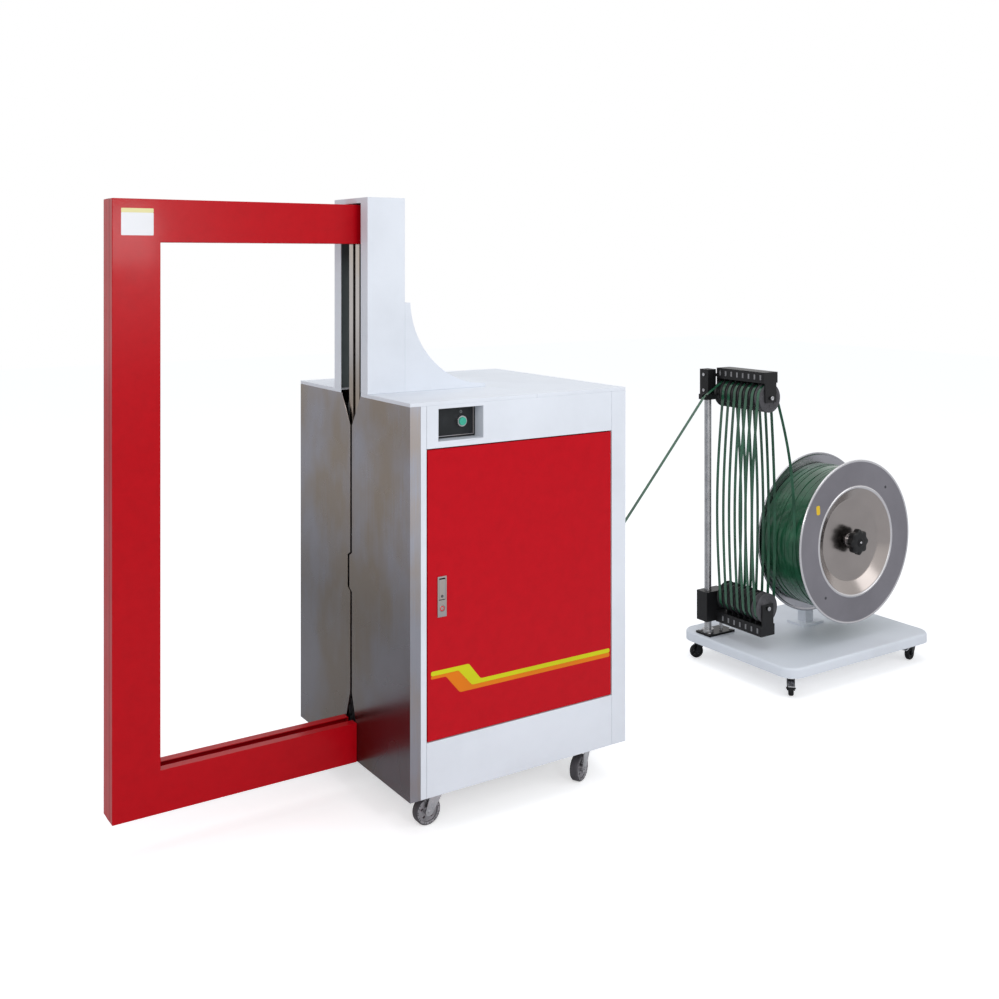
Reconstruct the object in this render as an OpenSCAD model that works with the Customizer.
// Semi automatic strapping machine: red strap arch on a wheeled cabinet, with a strap dispenser
// trolley. X runs from the arch to the dispenser, the door faces -Y, Z is up from the ground.
// The modules use the cabinet's own X, which is 0 at its sealing face; shifted() centres it.

/* [Cabinet] */
// Width of the cabinet, from the sealing face to the right side
cab_w = 715; // [590:5:900]
// Depth of the cabinet, from the door face to the rear
cab_d = 690; // [570:5:840]
// Height of the cabinet's underside above the ground
cab_floor = 102; // [98:1:140]
// Height of the cabinet's body
cab_h = 1020; // [960:5:1230]
// Thickness of the cabinet's sheet metal
sheet = 2; // [1.5:0.1:2.5]
// Thickness of the folded lids
lid_t = 10; // [8:1:16]
// Width of the fixed lid beside the service lid
lid_split = 400; // [390:5:460]
// Width of the front posts' folds around the frame
fold_w = 42; // [38:1:50]

/* [Sealing face] */
// Width of the strap slot
slot_w = 12; // [8:1:16]
// Place of the slot's centre behind the arch's middle plane
slot_y = -2; // [-6:1:6]
// Side step of the slot at the sealing height
slot_jog = 16; // [8:1:24]
// Width of the V notch at the top of the slot
notch_w = 114; // [90:2:120]
// Depth of the V notch below the lid
notch_h = 86; // [60:2:110]
// Width of the steel panel's wrap around the corner
wrap_w = 31; // [25:1:36]

/* [Front] */
// Left edge of the door
door_x0 = 52; // [50:1:60]
// Width of the free strip between the door and the right side
post_w = 51; // [48:1:60]
// Height of the kick panel
kick_h = 144; // [100:1:200]
// Height of the control fascia
fascia_h = 112; // [105:1:160]
// Gap around the door
door_gap = 3; // [2.5:0.5:4]
// Depth of the door's folded edge
door_fold = 20; // [16:1:24]
// Diameter of the door's hinge pins
hinge_pin_d = 6; // [5:1:8]
// Width of the control recess
recess_w = 139; // [110:1:180]
// Height of the control recess
recess_h = 85; // [60:1:88]
// Depth of the control recess
recess_depth = 43; // [30:1:60]
// Diameter of the start button
button_d = 22; // [16:1:30]
// Width of the door lock's plate
lock_w = 27; // [24:1:34]
// Height of the door lock's plate
lock_h = 106; // [100:1:130]

/* [Arch] */
// Reach of the arch from the sealing face
arch_reach = 672; // [560:2:810]
// Width of the arch's column
arch_column_w = 121; // [100:1:145]
// Height of the arch's top and bottom beams
arch_beam_h = 109; // [90:1:130]
// Thickness of the arch
arch_t = 80; // [66:1:96]
// Height of the arch's top
arch_top = 1656; // [1560:2:1800]
// Height of the arch's underside above the ground
arch_floor = 100; // [60:1:120]
// Width of the strap track's slot
track_w = 26; // [20:1:32]
// Depth of the strap track behind the arch's inner edge
track_recess = 14; // [8:1:24]
// Thickness of the arch's sheet metal
arch_sheet = 3; // [2:0.5:4]

/* [Tower] */
// Width of the tower on the lid
tower_w = 117; // [98:1:140]
// Depth of the tower
tower_d = 210; // [176:1:250]
// Width of the tower's opening
tower_open_w = 126; // [110:1:150]
// Height of the tower's top above the arch's top
tower_rise = 19; // [12:1:30]
// Radius of the flare behind the tower
flare_r = 250; // [208:1:260]
// Thickness of the flare's foot on the lid
flare_foot = 11; // [6:1:16]

/* [Strap and feed] */
// Width of the plastic strap
strap_w = 13; // [9:0.5:16]
// Thickness of the plastic strap
strap_t = 0.8; // [0.5:0.1:1.2]
// Height of the strap inlet above the cabinet's underside
inlet_z = 244; // [200:2:300]
// Diameter of the feed wheel
feed_d = 80; // [66:1:96]
// Diameter of the pinch wheel
pinch_d = 60; // [50:1:72]
// Diameter of the wheels' shafts
feed_shaft_d = 16; // [12:1:20]

/* [Dispenser trolley] */
// Free distance between the cabinet and the trolley
trolley_gap = 835; // [690:5:1010]
// Length of the trolley's plate
trolley_l = 765; // [750:5:930]
// Width of the trolley's plate
trolley_w = 560; // [540:5:640]
// Thickness of the trolley's plate
trolley_t = 35; // [28:1:42]
// Height of the trolley's underside above the ground
trolley_floor = 70; // [64:1:90]
// Corner radius of the trolley's plate
trolley_r = 60; // [40:1:70]
// Distance of the trolley's rear edge behind the arch's middle plane
trolley_back = 345; // [335:5:347]

/* [Strap accumulator] */
// Diameter of the pole
pole_d = 26; // [22:1:30]
// Height of the pole above the plate
pole_h = 985; // [960:5:1100]
// Outer diameter of the strap rollers
roller_d = 105; // [90:1:110]
// Depth of the rollers' grooves
groove = 6; // [4:0.5:8]
// Width of each strap roller
roller_w = 26; // [24:0.5:27]
// Distance between neighbouring rollers
pitch = 29; // [29:0.5:31]
// Number of rollers on the upper axle
upper_count = 8; // [4:1:8]
// Diameter of the rollers' axles
axle_d = 12; // [10:1:16]
// Height of the upper axle above the ground
upper_z = 1008; // [980:2:1060]
// Height of the lower axle above the ground
lower_z = 254; // [240:2:300]

/* [Strap reel] */
// Height of the reel's axle above the ground
reel_z = 465; // [440:1:520]
// Diameter of the reel's flanges
flange_d = 600; // [540:5:640]
// Outer diameter of the strap coil
coil_d = 524; // [450:2:580]
// Inner diameter of the strap coil
core_d = 406; // [380:2:430]
// Width of the strap coil
coil_w = 190; // [150:1:195]
// Distance between the reel's flanges
flange_gap = 195; // [190:1:210]
// Depth of the front flange's dish
dish = 26; // [15:1:40]
// Gap between the rollers, as they rise, and the reel's flanges
reel_clear = 8; // [5:1:30]
// Diameter of the star knob
knob_d = 95; // [70:1:110]
// Diameter of the reel's fixed axle
reel_axle_d = 25; // [20:1:30]

/* [Casters] */
// Wheel diameter of the cabinet's casters
wheel_d = 75; // [70:1:80]
// Wheel width of the cabinet's casters
wheel_w = 26; // [20:1:30]
// Trail of the cabinet's casters
trail = 30; // [22:1:34]
// Wheel diameter of the trolley's casters
small_wheel_d = 50; // [44:1:54]
// Wheel width of the trolley's casters
small_wheel_w = 18; // [14:1:22]
// Trail of the trolley's casters
small_trail = 18; // [14:1:22]

/* [Clearances] */
// Gap between parts that move past each other
move_gap = 0.3; // [0.2:0.05:0.6]
// Radial clearance of a pin or shaft in its bore
run_gap = 0.05; // [0.02:0.01:0.1]
// Width of the seams between fixed panels
seam = 0.6; // [0.4:0.1:0.9]

/* [Hidden] */
$fn = 64;
eps = 0.01;

white = [0.86, 0.89, 0.92];
red = [0.75, 0.1, 0.13];
steel = [0.55, 0.54, 0.56];
zinc = [0.7, 0.7, 0.72];
black = [0.08, 0.08, 0.09];
green = [0.12, 0.32, 0.22];
teal = [0.27, 0.72, 0.62];

front_y = -cab_d / 2;
rear_y = cab_d / 2;
cab_top = cab_floor + cab_h;
lid_top = cab_top + lid_t;
cab_y = [front_y, rear_y];
cab_z = [cab_floor, cab_top];

frame_t = 3;             // thickness of the frame's angle posts
tray_t = 4;              // thickness of the frame's floor tray
rail_t = 6;              // height of the frame's top rails
rail_w = 30;             // width of the frame's top rails
mech_y = [30, 36];       // the upright plate that carries the mechanism
mech_x1 = 420;

door_x1 = cab_w - post_w - 4;
door_z0 = cab_floor + kick_h + door_gap;
door_z1 = cab_top - fascia_h - door_gap;
door_z = [door_z0, door_z1];
hinge_x = door_x1 - 12;  // the hinge line lies this side of the door's right edge
hinge_y = front_y + 8;
hinge_zs = [door_z0 + 80, door_z1 - 80];
leaf_t = 4;

recess_x0 = door_x0 + 33;
recess_z0 = cab_top - 10 - recess_h;
recess_y = front_y + recess_depth;
panel_t = 3;
button_x = recess_x0 + recess_w * 0.68;
button_z = recess_z0 + recess_h / 2;

lock_x0 = door_x0 + 29;
lock_z0 = door_z0 + 319;
lock_proud = 2.5;
lock_cx = lock_x0 + lock_w / 2;
handle_w = lock_w - 9;
handle_z1 = lock_z0 + lock_h - 8;
handle_z0 = lock_z0 + 46;
handle_pin_z = handle_z1 - 5;
handle_pin_y = front_y + 3;
handle_pin_d = 4;
lock_button_d = 16;
lock_button_z = lock_z0 + 22;

arch_x0 = -arch_reach;
arch_x1 = arch_x0 + arch_column_w;
beam_low = [arch_floor, arch_floor + arch_beam_h];
beam_high = [arch_top - arch_beam_h, arch_top];
beam_end = 60;           // how far the top beam runs into the tower
tower_top = arch_top + tower_rise;
rail_x = [10, 40];
rail_gap = 16;
rail_depth = 24;
head_top = cab_top - notch_h - 26;

inlet = cab_floor + inlet_z;
feed_x = 290;
feed_z = inlet - strap_t / 2 - feed_d / 2;
pinch_z = inlet + strap_t / 2 + pinch_d / 2;
motor_len = rear_y - mech_y[1] - 119; // the motor ends short of the rear cover

plate_x0 = cab_w + trolley_gap;
plate_x1 = plate_x0 + trolley_l;
plate_y = [trolley_back - trolley_w, trolley_back];
plate_top = trolley_floor + trolley_t;
x_shift = -(plate_x1 - arch_reach) / 2;

pole_x = plate_x0 + 41;
roller_x = plate_x0 + 90;
groove_r = roller_d / 2 - groove;
wrap_r = groove_r + move_gap;             // inner radius of the strap on a roller
strand_r = wrap_r + strap_t / 2;
first_y = -17;                            // the front upper roller's middle
lower_count = upper_count - 1;
upper_ys = [for (i = [0:upper_count - 1]) first_y + pitch * i];
lower_ys = [for (i = [0:lower_count - 1]) first_y + pitch * (i + 0.5)];
last_y = upper_ys[upper_count - 1];
comb_t = 1.6;
comb_x = [roller_x - 34, roller_x + 34];
end_x = [roller_x - 28, roller_x + 28];
upper_front = upper_ys[0] - roller_w / 2 - 1;
lower_front = lower_ys[0] - roller_w / 2 - 1;
end_t = 4;
far_y = last_y + roller_w / 2 + 1;        // inner face of the combs' rear end plates
pole_y = far_y + end_t + 31;
block_y = [pole_y - 27, pole_y + 27];
exit_x = pole_x - 67;
exit_z = upper_z - 11;
comb_high_z = upper_z + roller_d / 2 + 1;
comb_low_z = lower_z - roller_d / 2 - 6.5;
comb_bar = 39;

reel_x = roller_x + roller_d / 2 + flange_d / 2 + reel_clear;
flange_front = -114;                      // outer face of the front flange
flange_t = 3;
flange_rear = flange_front + flange_t + flange_gap;
coil_y0 = flange_front + flange_t + (flange_gap - coil_w) / 2;
drum_d = core_d - 2 * move_gap;
post_y = flange_rear + 45;
post_s = 40;
dish_r = core_d / 2 - 6;
dish_floor = flange_front + dish;
hub_r = reel_axle_d / 2 + 12;

king_d = 10;                              // kingpin of a cabinet caster
small_king_d = 8;                         // kingpin of a trolley caster
pad_t = 6;
small_pad_t = 3;
main_spots = [[118, front_y + 70, 0], [cab_w - 103, front_y + 67, 27],
  [118, rear_y - 70, -14], [cab_w - 103, rear_y - 67, 9]];
small_inset = 56;
small_spots = [[plate_x0 + small_inset, plate_y[0] + small_inset, 45],
  [plate_x0 + small_inset, plate_y[1] - small_inset, -20],
  [plate_x1 - small_inset, plate_y[0] + small_inset, 12],
  [plate_x1 - small_inset, plate_y[1] - small_inset, 155]];
small_axle_d = 6;
main_axle_d = 8;

// ---------- helpers ----------
module shifted() translate([x_shift, 0, 0]) children();
// A box between two places on each axis
module span(x, y, z)
  translate([x[0], y[0], z[0]]) cube([x[1] - x[0], y[1] - y[0], z[1] - z[0]]);
module rod_x(x, y, z, d) translate([x[0], y, z]) rotate([0, 90, 0]) cylinder(h = x[1] - x[0], d = d);
module rod_y(x, y, z, d) translate([x, y[1], z]) rotate([90, 0, 0]) cylinder(h = y[1] - y[0], d = d);
module rod_z(x, y, z, d) translate([x, y, z[0]]) cylinder(h = z[1] - z[0], d = d);
// An X-Z outline made thick along Y, and a Y-Z outline made thick along X
module thick_y(y) translate([0, y[1], 0]) rotate([90, 0, 0]) linear_extrude(y[1] - y[0]) children();
module thick_x(x) translate([x[0], 0, 0]) rotate([90, 0, 90]) linear_extrude(x[1] - x[0]) children();
// A turned shape about a Y line: its outline is [radius, distance towards +Y from y0]
module turned_y(x, y0, z) translate([x, y0, z]) rotate([-90, 0, 0]) rotate_extrude($fn = 96) children();

// A length of strap from a to b, its width kept level along Y
module strand(a, b) {
  d = b - a;
  l = norm(d);
  translate(a) rotate([asin(-d[1] / l), atan2(d[0], d[2]), 0])
    translate([-strap_t / 2, -strap_w / 2, 0]) cube([strap_t, strap_w, l]);
}

// A band of strap around a roller, cut to the sector between two angles
module wrap(x, y, z, r, from, to) {
  far = 4 * r;
  thick_y([y - strap_w / 2, y + strap_w / 2]) translate([x, z]) intersection() {
    difference() {
      circle(r = r + strap_t, $fn = 128);
      circle(r = r, $fn = 128);
    }
    polygon(concat([[0, 0]], [for (k = [0:4]) let (a = from + (to - from) * k / 4) far * [cos(a), sin(a)]]));
  }
}

// A sheet metal pan, open below
module pan(x, y, z) difference() {
  span(x, y, z);
  span([x[0] + sheet, x[1] - sheet], [y[0] + sheet, y[1] - sheet], [z[0] - eps, z[1] - sheet]);
}

// ---------- cabinet ----------
// Edge of the slot on one side (-1 near, 1 far), from the bottom to the top of the face
function slot_edge(side) = let (
  half = slot_w / 2,
  low = beam_low[1],
  mid = cab_floor + cab_h * 0.51,
  rows = [[cab_floor, 0, half], [low - 30, 0, half], [low - 30, 0, 30], [low, 0, 30],
    [low + 74, 0, half], [mid - 55, 0, half], [mid - 45, slot_jog, half],
    [mid + 45, slot_jog, half], [mid + 55, 0, half], [cab_top - notch_h, 0, half],
    [cab_top - 4, 0, notch_w / 2], [cab_top, 0, notch_w / 2]])
  [for (r = rows) [slot_y + r[1] + side * r[2], r[0]]];

module corner_post(left, near) {
  x = left ? [sheet, sheet + fold_w] : [cab_w - sheet - fold_w, cab_w - sheet];
  xw = left ? [sheet, sheet + frame_t] : [cab_w - sheet - frame_t, cab_w - sheet];
  y = near ? [front_y + sheet, front_y + sheet + frame_t] : [rear_y - sheet - frame_t, rear_y - sheet];
  yw = near ? [front_y + sheet, front_y + sheet + fold_w] : [rear_y - sheet - fold_w, rear_y - sheet];
  span(x, y, cab_z);
  span(xw, yw, cab_z);
}

module caster_pad(spot, top, size, t, king, drop) {
  span([spot[0] - size / 2, spot[0] + size / 2], [spot[1] - size / 2, spot[1] + size / 2], [top - t, top]);
  rod_z(spot[0], spot[1], [top - t - drop, top], king);
}

module base_frame() shifted() color(zinc) {
  difference() {
    union() {
      span([sheet, cab_w - sheet], [front_y + sheet, rear_y - sheet], [cab_floor, cab_floor + tray_t]);
      for (left = [true, false], near = [true, false]) corner_post(left, near);
      for (y = [[front_y + sheet, front_y + sheet + rail_w], [rear_y - sheet - rail_w, rear_y - sheet]])
        span([sheet, cab_w - sheet], y, [cab_top - rail_t, cab_top]);
      span([cab_w - sheet - rail_w, cab_w - sheet], [front_y + sheet, rear_y - sheet],
        [cab_top - rail_t, cab_top]);
      span([tower_w, tower_w + rail_w], [front_y + sheet, rear_y - sheet], [cab_top - rail_t, cab_top]);
      span([rail_x[0], mech_x1], mech_y, [cab_floor, cab_top - rail_t - 20]);
      span([tower_w, tower_w + rail_w], mech_y, [cab_floor, cab_top]);
      span([mech_x1 - 60, mech_x1], [mech_y[1], mech_y[1] + 40], [cab_floor, cab_floor + 300]);
      for (s = main_spots) caster_pad(s, cab_floor, 80, pad_t, king_d, 11);
    }
    for (z = [feed_z, pinch_z])
      rod_y(feed_x, [mech_y[0] - 1, mech_y[1] + 1], z, feed_shaft_d + 2 * run_gap);
  }
}

module steel_panel_near() shifted() color(steel) {
  thick_x([0, sheet]) polygon(concat([[front_y, cab_top], [front_y, cab_floor]], slot_edge(-1)));
  span([0, wrap_w], [front_y, front_y + sheet], cab_z);
}

module steel_panel_far() shifted() color(steel) {
  thick_x([0, sheet]) polygon(concat([[rear_y, cab_top], [rear_y, cab_floor]], slot_edge(1)));
  span([0, wrap_w], [rear_y - sheet, rear_y], cab_z);
}

module left_stile() shifted() color(white) {
  x1 = door_x0 - door_gap;
  span([wrap_w + seam, x1], [front_y, front_y + sheet], cab_z);
  span([x1 - sheet, x1], [front_y, front_y + door_fold], [cab_floor + tray_t, cab_top - rail_t]);
}

module right_post() shifted() color(white) {
  x0 = cab_w - post_w;
  span([x0, cab_w], [front_y, front_y + sheet], cab_z);
  span([cab_w - sheet, cab_w], [front_y, front_y + fold_w], cab_z);
  span([x0, x0 + sheet], [front_y, front_y + fold_w], [cab_floor + tray_t, cab_top - rail_t]);
}

module control_fascia() shifted() color(white) {
  x = [door_x0 - door_gap + seam, cab_w - post_w - seam];
  z = [cab_top - fascia_h, cab_top];
  difference() {
    union() {
      span(x, [front_y, front_y + sheet], z);
      span(x, [front_y, front_y + door_fold], [z[0], z[0] + sheet]);
      span([recess_x0 - sheet, recess_x0 + recess_w + sheet], [front_y, recess_y],
        [recess_z0 - sheet, recess_z0 + recess_h + sheet]);
    }
    span([recess_x0, recess_x0 + recess_w], [front_y - 1, recess_y + 1], [recess_z0, recess_z0 + recess_h]);
  }
}

module control_panel() shifted() {
  color(black) difference() {
    span([recess_x0 - sheet, recess_x0 + recess_w + sheet], [recess_y, recess_y + panel_t],
      [recess_z0 - sheet, recess_z0 + recess_h + sheet]);
    rod_y(button_x, [recess_y - 1, recess_y + panel_t + 1], button_z, button_d - 4 + 2 * move_gap);
  }
  color(zinc) difference() {
    rod_y(button_x, [recess_y - 8, recess_y], button_z, button_d + 7);
    rod_y(button_x, [recess_y - 9, recess_y + 1], button_z, button_d + 2 * move_gap);
  }
}

module start_button() shifted() color(teal) {
  rod_y(button_x, [recess_y - 12, recess_y - 5], button_z, button_d);
  rod_y(button_x, [recess_y - 6, recess_y + panel_t + 12], button_z, button_d - 4);
}

module kick_panel() shifted() color(white) {
  x = [door_x0 - door_gap + seam, cab_w - post_w - seam];
  z1 = cab_floor + kick_h;
  span(x, [front_y, front_y + sheet], [cab_floor, z1]);
  span(x, [front_y, front_y + door_fold], [z1 - sheet, z1]);
}

module rear_cover() shifted() color(white) {
  x = [wrap_w + seam, cab_w];
  difference() {
    span(x, [rear_y - sheet, rear_y], cab_z);
    for (col = [0, 1], i = [0:9])
      span([x[0] + 140 + col * 230, x[0] + 280 + col * 230], [rear_y - sheet - 1, rear_y + 1],
        [cab_floor + 160 + i * 22, cab_floor + 166 + i * 22]);
  }
  for (px = [x[0] + 20, (x[0] + x[1]) / 2, x[1] - 30], z = [cab_floor + 24, cab_top - 24])
    rod_y(px, [rear_y, rear_y + lock_proud], z, 11);
}

module right_cover() shifted() color(white) difference() {
  span([cab_w - sheet, cab_w], [front_y + fold_w + seam, rear_y - sheet], cab_z);
  span([cab_w - sheet - 1, cab_w + 1], [-strap_w / 2 - 6, strap_w / 2 + 6], [inlet - 9, inlet + 9]);
}

module cabinet_lid() shifted() color(white) difference() {
  pan([0, lid_split], cab_y, [cab_top, lid_top]);
  span([-1, tower_w - 12], [-tower_open_w / 2, tower_open_w / 2], [cab_top - 1, lid_top + 1]);
}

module service_lid() shifted() color(white)
  pan([lid_split + seam, cab_w], cab_y, [cab_top, lid_top]);

// ---------- tower ----------
module tower_cover() shifted() color(white) {
  y = [-tower_d / 2, tower_d / 2];
  difference() {
    span([0, tower_w], y, [lid_top, tower_top]);
    span([sheet, tower_w - sheet], [y[0] + sheet, y[1] - sheet], [lid_top - 1, tower_top - sheet]);
    span([-1, sheet + 1], [-tower_open_w / 2, tower_open_w / 2], [lid_top - 1, arch_top + 4]);
  }
}

module flare_outline(inset) difference() {
  translate([tower_w + inset, lid_top - inset])
    square([flare_r + 17 - 2 * inset, flare_r]);
  translate([tower_w + flare_r + 17, lid_top + flare_foot + flare_r]) circle(r = flare_r + inset, $fn = 128);
}

module flare_cover() shifted() color(white) {
  y = [-tower_d / 2, tower_d / 2];
  thick_y([y[0], y[0] + sheet]) flare_outline(0);
  thick_y([y[1] - sheet, y[1]]) flare_outline(0);
  thick_y(y) difference() {
    flare_outline(0);
    flare_outline(sheet);
  }
}

module guide_rails() shifted() color(steel)
  for (s = [-1, 1]) {
    y = slot_y + s * (rail_gap + rail_depth) / 2;
    span(rail_x, [y - rail_depth / 2, y + rail_depth / 2], [head_top, beam_high[0]]);
  }

// ---------- arch ----------
// One side of the arch: folded boxes that are open towards the strap track.
// s is -1 for the front shell, which also closes the outer edge, and 1 for the back shell.
module arch_box(x, z, s, wall) {
  y = s < 0 ? [-arch_t / 2, -track_w / 2] : [track_w / 2, arch_t / 2];
  open_y = s < 0 ? [y[0] + arch_sheet, y[1] + 1] : [y[0] - 1, y[1] - arch_sheet];
  difference() {
    span(x, y, z);
    span([x[0] + wall, x[1] - wall], open_y, [z[0] + wall, z[1] - wall]);
  }
}

module arch_shell(s) {
  arch_box([arch_x0, arch_x1], [beam_low[0], beam_high[1]], s, arch_sheet);
  arch_box([arch_x1, 0], beam_low, s, arch_sheet);
  arch_box([arch_x1, beam_end], beam_high, s, arch_sheet);
}

module arch_front_shell() shifted() color(red) arch_shell(-1);

module arch_back_shell() shifted() color(red) arch_shell(1);

module arch_track() shifted() color(black) {
  y = [-track_w / 2, track_w / 2];
  b = arch_sheet;
  r = track_recess;
  span([arch_x0, arch_x0 + b], y, [beam_low[0], beam_high[1]]);
  span([arch_x0 + b, beam_end], y, [beam_high[1] - b, beam_high[1]]);
  span([arch_x0 + b, 0], y, [beam_low[0], beam_low[0] + b]);
  span([arch_x1 - r - b, arch_x1 - r], y, [beam_low[1] - r - b, beam_high[0] + r + b]);
  span([arch_x1 - r, beam_end], y, [beam_high[0] + r, beam_high[0] + r + b]);
  span([arch_x1 - r, 0], y, [beam_low[1] - r - b, beam_low[1] - r]);
}

// ---------- inside the cabinet ----------
module sealing_head() shifted() color(steel) {
  z0 = beam_low[1] + 110;
  mid = cab_floor + cab_h * 0.51;
  x0 = sheet + 4;
  difference() {
    union() {
      span([x0 + 20, 104], [mech_y[0] - 44, mech_y[0]], [z0, head_top - 40]);
      span([x0, x0 + 20], [-14, 12], [mid - 52, mid + 52]);
      span([rail_x[0], rail_x[1]], [-34, mech_y[0]], [head_top - 40, head_top]);
      for (z = [mid - 150, mid + 110]) span([x0 + 4, x0 + 20], [-12, 8], [z, z + 40]);
      for (z = [z0 + 90, z0 + 290]) rod_y(96, [-34, mech_y[0]], z, 46);
    }
    span([54, 92], [mech_y[0] - 45, mech_y[0] - 10], [z0 + 140, z0 + 250]);
  }
}

module drive_motor() shifted() color(zinc) {
  z = feed_z - 20;
  y0 = mech_y[1];
  span([feed_x - 60, feed_x + 60], [y0, y0 + 60], [z - 62, z + 62]);
  rod_y(feed_x, [y0 + 59, y0 + 60 + motor_len], z, 112);
  rod_y(feed_x, [y0 + 60 + motor_len - 10, y0 + 75 + motor_len], z, 70);
}

module electric_box() shifted() color(zinc) {
  x = [cab_w - sheet - 120, cab_w - sheet];
  y = [rear_y - 265, rear_y - 45];
  difference() {
    span(x, y, [cab_floor + 430, cab_floor + 770]);
    span([x[0] + sheet, x[1] - sheet], [y[0] + sheet, y[1] - sheet], [cab_floor + 432, cab_floor + 768]);
  }
}

module strap_chute() shifted() color(black) {
  y = [-strap_w / 2 - 3, strap_w / 2 + 3];
  flange_y = [-strap_w / 2 - 20, strap_w / 2 + 20];
  x0 = feed_x + 38;
  slot_h = strap_t + 2 * move_gap;
  difference() {
    union() {
      span([x0, cab_w], [y[0] - 2, y[1] + 2], [inlet - 8, inlet + 8]);
      span([cab_w, cab_w + 6], flange_y, [inlet - 24, inlet + 24]);
      span([x0 + 30, x0 + 60], [y[1], mech_y[0]], [inlet - 8, inlet + 8]);
    }
    span([x0 - 1, cab_w + 7], y, [inlet - slot_h / 2, inlet + slot_h / 2]);
  }
}

module feed_wheel() shifted() color(zinc) {
  rod_y(feed_x, [-14, 14], feed_z, feed_d - 2 * move_gap);
  rod_y(feed_x, [-20, mech_y[1] - move_gap], feed_z, feed_shaft_d);
}

module pinch_wheel() shifted() color(zinc) {
  rod_y(feed_x, [-12, 12], pinch_z, pinch_d - 2 * move_gap);
  rod_y(feed_x, [-18, mech_y[1] - move_gap], pinch_z, feed_shaft_d);
}

// ---------- door ----------
module door_hinges() shifted() color(zinc)
  for (z = hinge_zs) {
    rod_z(hinge_x, hinge_y, [z, z + leaf_t], 10);
    span([hinge_x - 8, hinge_x], [hinge_y, hinge_y + 25], [z, z + leaf_t]);
    span([hinge_x - 8, cab_w - post_w], [hinge_y + 19, hinge_y + 25], [z, z + leaf_t]);
    rod_z(hinge_x, hinge_y, [z, z + 3 * leaf_t], hinge_pin_d);
  }

module door_panel() shifted() color(red) {
  y = [front_y, front_y + sheet];
  fold_y = [front_y, front_y + door_fold];
  difference() {
    union() {
      span([door_x0, door_x1], y, door_z);
      span([door_x0, door_x0 + sheet], fold_y, door_z);
      span([door_x1 - sheet, door_x1], fold_y, door_z);
      span([door_x0, door_x1], fold_y, [door_z0, door_z0 + sheet]);
      span([door_x0, door_x1], fold_y, [door_z1 - sheet, door_z1]);
      for (z = hinge_zs) {
        rod_z(hinge_x, hinge_y, [z + leaf_t + move_gap, z + 2 * leaf_t], 10);
        span([hinge_x - 20, hinge_x + 5], [front_y + sheet / 2, hinge_y],
          [z + leaf_t + move_gap, z + 2 * leaf_t]);
      }
    }
    for (z = hinge_zs) {
      rod_z(hinge_x, hinge_y, [z, z + 3 * leaf_t], hinge_pin_d + 2 * run_gap);
      span([door_x1 - sheet - 1, door_x1 + 1], [front_y + sheet, front_y + door_fold + 1],
        [z - 14, z + 22]);
    }
    span([lock_x0 + 3, lock_x0 + lock_w - 3], [front_y - 1, front_y + sheet + 1],
      [lock_z0 + 3, lock_z0 + lock_h - 3]);
  }
}

module lock_plate() shifted() color(zinc) {
  x = [lock_x0, lock_x0 + lock_w];
  z = [lock_z0, lock_z0 + lock_h];
  inner_x = [lock_cx - handle_w / 2 - 0.5, lock_cx + handle_w / 2 + 0.5];
  case_x = [x[0] + 3, x[1] - 3];
  difference() {
    union() {
      span(x, [front_y - lock_proud, front_y], z);
      span(case_x, [front_y - eps, front_y + 26], [z[0] + 3, z[1] - 3]);
    }
    span(inner_x, [front_y - lock_proud - 1, front_y + 24], [handle_z0 - 2, z[1] - 4.5]);
    span(inner_x, [front_y + 4, front_y + 24], [z[0] + 5, z[1] - 4.5]);
    rod_y(lock_cx, [front_y - lock_proud - 1, front_y + 5], lock_button_z, lock_button_d + 2 * move_gap);
    rod_x([case_x[0] - 1, case_x[1] + 1], handle_pin_y, handle_pin_z, handle_pin_d + 2 * run_gap);
  }
}

module lock_handle() shifted() color(zinc) {
  x = [lock_cx - handle_w / 2, lock_cx + handle_w / 2];
  span(x, [front_y - lock_proud, front_y + 5], [handle_z0, handle_z1]);
  rod_x([lock_x0 + 3.4, lock_x0 + lock_w - 3.4], handle_pin_y, handle_pin_z, handle_pin_d);
}

module lock_button() shifted() color(zinc) {
  rod_y(lock_cx, [front_y - lock_proud, front_y + 10], lock_button_z, lock_button_d);
}

// ---------- casters ----------
// The fork hangs under its pad, with its head round the kingpin, and the wheel trails behind it.
module fork(spot, top, r, w, offset, king, pin, head) {
  leg = 3;
  side = w / 2 + 1.5;
  translate([spot[0], spot[1], 0]) rotate([0, 0, spot[2]]) difference() {
    union() {
      rod_z(0, 0, [top - move_gap - 6, top - move_gap], 2 * head);
      span([-head, head * 0.8], [-side - leg, side + leg], [top - 10, top - 5]);
      for (s = [-1, 1]) {
        y = s > 0 ? [side, side + leg] : [-side - leg, -side];
        thick_y(y) polygon([[head * 0.8, top - 5], [-head, top - 5], [-offset - pin * 1.4, r],
          [-offset + pin * 1.4, r - pin * 0.4]]);
        rod_y(-offset, y, r, pin * 2.8);
      }
      rod_y(-offset, [-side - leg - 3, side + leg + 3], r, pin);
    }
    rod_z(0, 0, [top - 20, top + 1], king + 2 * run_gap);
  }
}

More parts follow.
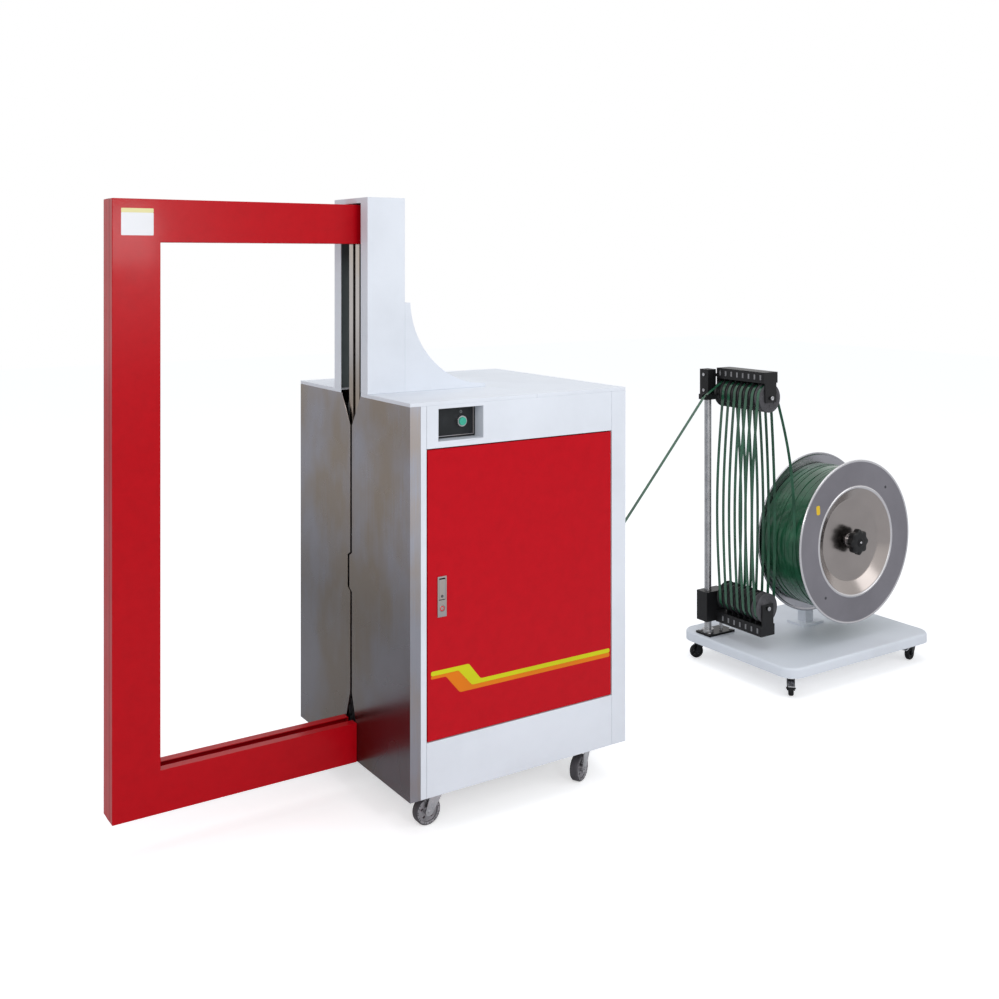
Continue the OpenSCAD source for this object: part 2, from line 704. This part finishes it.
module caster_wheel(spot, r, w, offset, pin) {
  groove_w = w * 0.22;
  translate([spot[0], spot[1], 0]) rotate([0, 0, spot[2]]) difference() {
    turned_y(-offset, 0, r) polygon([
      [pin / 2 + run_gap, -w / 2 - 1], [pin * 1.3, -w / 2 - 1], [pin * 1.3, -w / 2 + groove_w],
      [r * 0.72, -w / 2 + groove_w], [r * 0.76, -w / 2 + 1], [r - 3, -w / 2], [r, -w / 2 + 4],
      [r, w / 2 - 4], [r - 3, w / 2], [r * 0.76, w / 2 - 1], [r * 0.72, w / 2 - groove_w],
      [pin * 1.3, w / 2 - groove_w], [pin * 1.3, w / 2 + 1], [pin / 2 + run_gap, w / 2 + 1]]);
    for (a = [0:72:359]) translate([-offset, 0, r]) rotate([0, a, 0])
      rod_y(0, [-w, w], r * 0.5, r * 0.2);
  }
}

module main_fork(i) shifted() color(zinc)
  fork(main_spots[i], cab_floor - pad_t, wheel_d / 2, wheel_w, trail, king_d, main_axle_d, 24);

module main_wheel(i) shifted() color(steel)
  caster_wheel(main_spots[i], wheel_d / 2, wheel_w, trail, main_axle_d);

module trolley_fork(i) shifted() color(zinc)
  fork(small_spots[i], trolley_floor - small_pad_t, small_wheel_d / 2, small_wheel_w, small_trail,
    small_king_d, small_axle_d, 17);

module trolley_wheel(i) shifted() color(black)
  caster_wheel(small_spots[i], small_wheel_d / 2, small_wheel_w, small_trail, small_axle_d);

// ---------- dispenser trolley ----------
module plate_outline(inset) {
  r = trolley_r - inset;
  l = trolley_l - 2 * inset;
  w = trolley_w - 2 * inset;
  translate([plate_x0 + inset, plate_y[0] + inset]) {
    translate([r, 0]) square([l - 2 * r, w]);
    translate([0, r]) square([l, w - 2 * r]);
    for (x = [r, l - r], y = [r, w - r]) translate([x, y]) circle(r = r);
  }
}

module trolley_plate() shifted() color(white) {
  wall = 3;
  pad = 64;
  difference() {
    translate([0, 0, trolley_floor]) linear_extrude(trolley_t) plate_outline(0);
    translate([0, 0, trolley_floor - 1]) linear_extrude(trolley_t - wall + 1) plate_outline(wall);
  }
  for (s = small_spots) {
    span([s[0] - pad / 2, s[0] + pad / 2], [s[1] - pad / 2, s[1] + pad / 2], [trolley_floor, plate_top - 1]);
    caster_pad(s, trolley_floor, 56, small_pad_t, small_king_d, 7);
  }
}

module pole() shifted() color(zinc) {
  foot = [plate_top, plate_top + 8];
  span([pole_x - 28, pole_x + 100], [pole_y - 39, pole_y + 35], foot);
  rod_z(pole_x, pole_y, [plate_top, plate_top + pole_h], pole_d);
  rod_z(pole_x, pole_y, [plate_top, plate_top + 20], pole_d + 16);
  rod_z(roller_x + 4, pole_y - 14, [foot[1], comb_low_z - comb_bar + 3 - move_gap], 12);
}

// A bar along the rollers with teeth between them
module comb(front, back, ys, bar_z, tooth_z) {
  span(comb_x, [front - end_t, back], bar_z);
  for (i = [0:len(ys) - 2]) let (y = (ys[i] + ys[i + 1]) / 2)
    span([comb_x[0] + 6, comb_x[1] - 6], [y - comb_t / 2, y + comb_t / 2], tooth_z);
}

module upper_frame() shifted() color(black) {
  bar_z = [comb_high_z, comb_high_z + comb_bar];
  clamp_z = [upper_z - 12, upper_z + 86];
  arm_y = [last_y - strap_w / 2 - 7, pole_y - 22];
  arm_z = [exit_z - 9, exit_z + 9];
  mouth = strap_w / 2 + 2;
  difference() {
    union() {
      comb(upper_front, far_y, upper_ys, bar_z, [comb_high_z - 14, comb_high_z + 1]);
      span(end_x, [upper_front - end_t, upper_front], [upper_z - 16, bar_z[1]]);
      span([comb_x[0], comb_x[1]], [far_y, far_y + end_t], [arm_z[0], bar_z[1]]);
      span([pole_x - 20, pole_x + 20], [pole_y - 22, pole_y + 22], clamp_z);
      rod_y(roller_x, [upper_front - end_t - 4, far_y + end_t + 3], upper_z, axle_d);
      span([pole_x - 20, comb_x[0] + 20], [far_y + end_t - 1, pole_y - 21], arm_z);
      span([pole_x + 6, comb_x[0] + 12], [far_y + end_t - 1, pole_y - 6],
        [clamp_z[1] - 26, clamp_z[1] - 16]);
      span([exit_x, pole_x - 19], arm_y, arm_z);
      span([exit_x + 10, pole_x - 10], [arm_y[1] - 10, arm_y[1] + 10], arm_z);
    }
    rod_z(pole_x, pole_y, [clamp_z[0] - 1, clamp_z[1] + 1], pole_d);
    span([exit_x - 1, pole_x - 18], [last_y - mouth, last_y + mouth], [exit_z - 4, exit_z + 10]);
  }
}

module dancer_frame() shifted() color(black) {
  bar_z = [comb_low_z - comb_bar, comb_low_z];
  difference() {
    union() {
      comb(lower_front, block_y[0] + 1, lower_ys, bar_z, [comb_low_z - 1, comb_low_z + 14]);
      span(end_x, [lower_front - end_t, lower_front], [bar_z[0], lower_z + 14]);
      span([pole_x - 31, roller_x + 20], block_y, [bar_z[0] + 3, lower_z + 14]);
      rod_y(roller_x, [lower_front - end_t - 4, block_y[0] + 1], lower_z, axle_d);
    }
    rod_z(pole_x, pole_y, [bar_z[0], lower_z + 20], pole_d + 2 * run_gap);
  }
}

// One grooved roller on a Y axle
module roller(y, z) {
  r = roller_d / 2;
  w = roller_w / 2;
  turned_y(roller_x, y, z) polygon([[axle_d / 2 + run_gap, -w], [r, -w], [r, -w + 2],
    [groove_r, -strap_w / 2 - 1], [groove_r, strap_w / 2 + 1], [r, w - 2], [r, w],
    [axle_d / 2 + run_gap, w]]);
}

module upper_rollers() shifted() color(black) for (y = upper_ys) roller(y, upper_z);

module lower_rollers() shifted() color(black) for (y = lower_ys) roller(y, lower_z);

// ---------- strap ----------
exit_d = [roller_x - exit_x, upper_z - exit_z];
exit_turn = 180 + atan2(exit_d[1], exit_d[0]) - acos(strand_r / norm(exit_d));
exit_from = [roller_x + strand_r * cos(exit_turn), last_y, upper_z + strand_r * sin(exit_turn)];
exit_at = [exit_x, last_y, exit_z + strap_t];

module strap_upper() shifted() color(green) {
  for (i = [0:upper_count - 2]) wrap(roller_x, upper_ys[i], upper_z, wrap_r, 0, 180);
  wrap(roller_x, last_y, upper_z, wrap_r, 0, exit_turn);
  strand(exit_from, exit_at);
  strand(exit_at, [cab_w + 8, 0, inlet]);
  strand([cab_w + 7.5, 0, inlet], [cab_w - 40, 0, inlet]);
  strand([reel_x - coil_d / 2 - strap_t, coil_y0 + 43, reel_z],
    [roller_x + strand_r, upper_ys[0], upper_z - move_gap]);
}

module strap_lower() shifted() color(green)
  for (y = lower_ys) wrap(roller_x, y, lower_z, wrap_r, 180, 360);

module strap_runs() shifted() color(green)
  for (i = [0:lower_count - 1]) {
    low = lower_z + 2 * move_gap;
    high = upper_z - 2 * move_gap;
    strand([roller_x - strand_r, lower_ys[i], low], [roller_x - strand_r, upper_ys[i], high]);
    strand([roller_x + strand_r, lower_ys[i], low], [roller_x + strand_r, upper_ys[i + 1], high]);
  }

// ---------- reel ----------
module reel_post() shifted() color(zinc) {
  x = [reel_x - post_s / 2, reel_x + post_s / 2];
  y = [post_y - post_s / 2, post_y + post_s / 2];
  span([x[0] - 35, x[1] + 35], [y[0] - 22, y[1] + 22], [plate_top, plate_top + 8]);
  span(x, y, [plate_top, reel_z + 26]);
  rod_y(reel_x, [flange_front - 10, y[0] + 1], reel_z, reel_axle_d);
  rod_y(reel_x, [y[0] - 6, y[0] + 1], reel_z, reel_axle_d + 16);
}

module reel_back() shifted() color(steel) {
  bore = reel_axle_d / 2 + run_gap;
  inner = drum_d / 2 - 2;
  depth = flange_gap;
  turned_y(reel_x, flange_rear, reel_z) polygon([[bore, -30], [hub_r, -30], [hub_r, 0],
    [inner, 0], [inner, -depth + 34], [drum_d / 2, -depth + 34], [drum_d / 2, 0], [flange_d / 2, 0],
    [flange_d / 2, flange_t], [hub_r, flange_t], [hub_r, 12], [bore, 12]]);
}

module reel_front() shifted() color(steel) {
  bore = reel_axle_d / 2 + run_gap;
  r = flange_d / 2;
  t = flange_t;
  inner = dish_r - 46;
  turned_y(reel_x, flange_front, reel_z) polygon([[bore, dish], [inner, dish], [dish_r, 0], [r, 0],
    [r, t], [drum_d / 2, t], [drum_d / 2, 34 - t], [drum_d / 2 - 2, 34 - t],
    [drum_d / 2 - 2, t + 2], [dish_r + 1, t], [inner + 2, dish + t], [bore, dish + t]]);
}

module strap_coil() shifted() color(green)
  turned_y(reel_x, coil_y0, reel_z)
    translate([core_d / 2, 0]) square([(coil_d - core_d) / 2, coil_w]);

module star_knob() shifted() color(black) {
  y0 = flange_front - 20;
  y1 = flange_front + 6;
  difference() {
    union() {
      rod_y(reel_x, [y0, y1], reel_z, knob_d * 0.74);
      rod_y(reel_x, [y1 - 1, dish_floor - move_gap], reel_z, reel_axle_d + 14);
      for (a = [0:45:359]) translate([reel_x, 0, reel_z]) rotate([0, a, 0])
        rod_y(0, [y0 + 2, y1 - 2], knob_d * 0.38, knob_d * 0.24);
    }
    rod_y(reel_x, [flange_front - 11, dish_floor + 1], reel_z, reel_axle_d + 2 * run_gap);
  }
}

base_frame();
steel_panel_near();
steel_panel_far();
left_stile();
right_post();
control_fascia();
kick_panel();
rear_cover();
right_cover();
cabinet_lid();
service_lid();
tower_cover();
flare_cover();
guide_rails();
arch_front_shell();
arch_back_shell();
arch_track();
control_panel();
sealing_head();
drive_motor();
electric_box();
strap_chute();
door_hinges();
door_panel();
lock_plate();
lock_handle();
lock_button();
start_button();
feed_wheel();
pinch_wheel();
main_fork(0);  // main_fork_1
main_fork(1);  // main_fork_2
main_fork(2);  // main_fork_3
main_fork(3);  // main_fork_4
main_wheel(0);  // main_wheel_1
main_wheel(1);  // main_wheel_2
main_wheel(2);  // main_wheel_3
main_wheel(3);  // main_wheel_4
trolley_plate();
pole();
upper_frame();
upper_rollers();
dancer_frame();
lower_rollers();
strap_upper();
strap_lower();
strap_runs();
reel_post();
reel_back();
strap_coil();
reel_front();
star_knob();
trolley_fork(0);  // trolley_fork_1
trolley_fork(1);  // trolley_fork_2
trolley_fork(2);  // trolley_fork_3
trolley_fork(3);  // trolley_fork_4
trolley_wheel(0);  // trolley_wheel_1
trolley_wheel(1);  // trolley_wheel_2
trolley_wheel(2);  // trolley_wheel_3
trolley_wheel(3);  // trolley_wheel_4
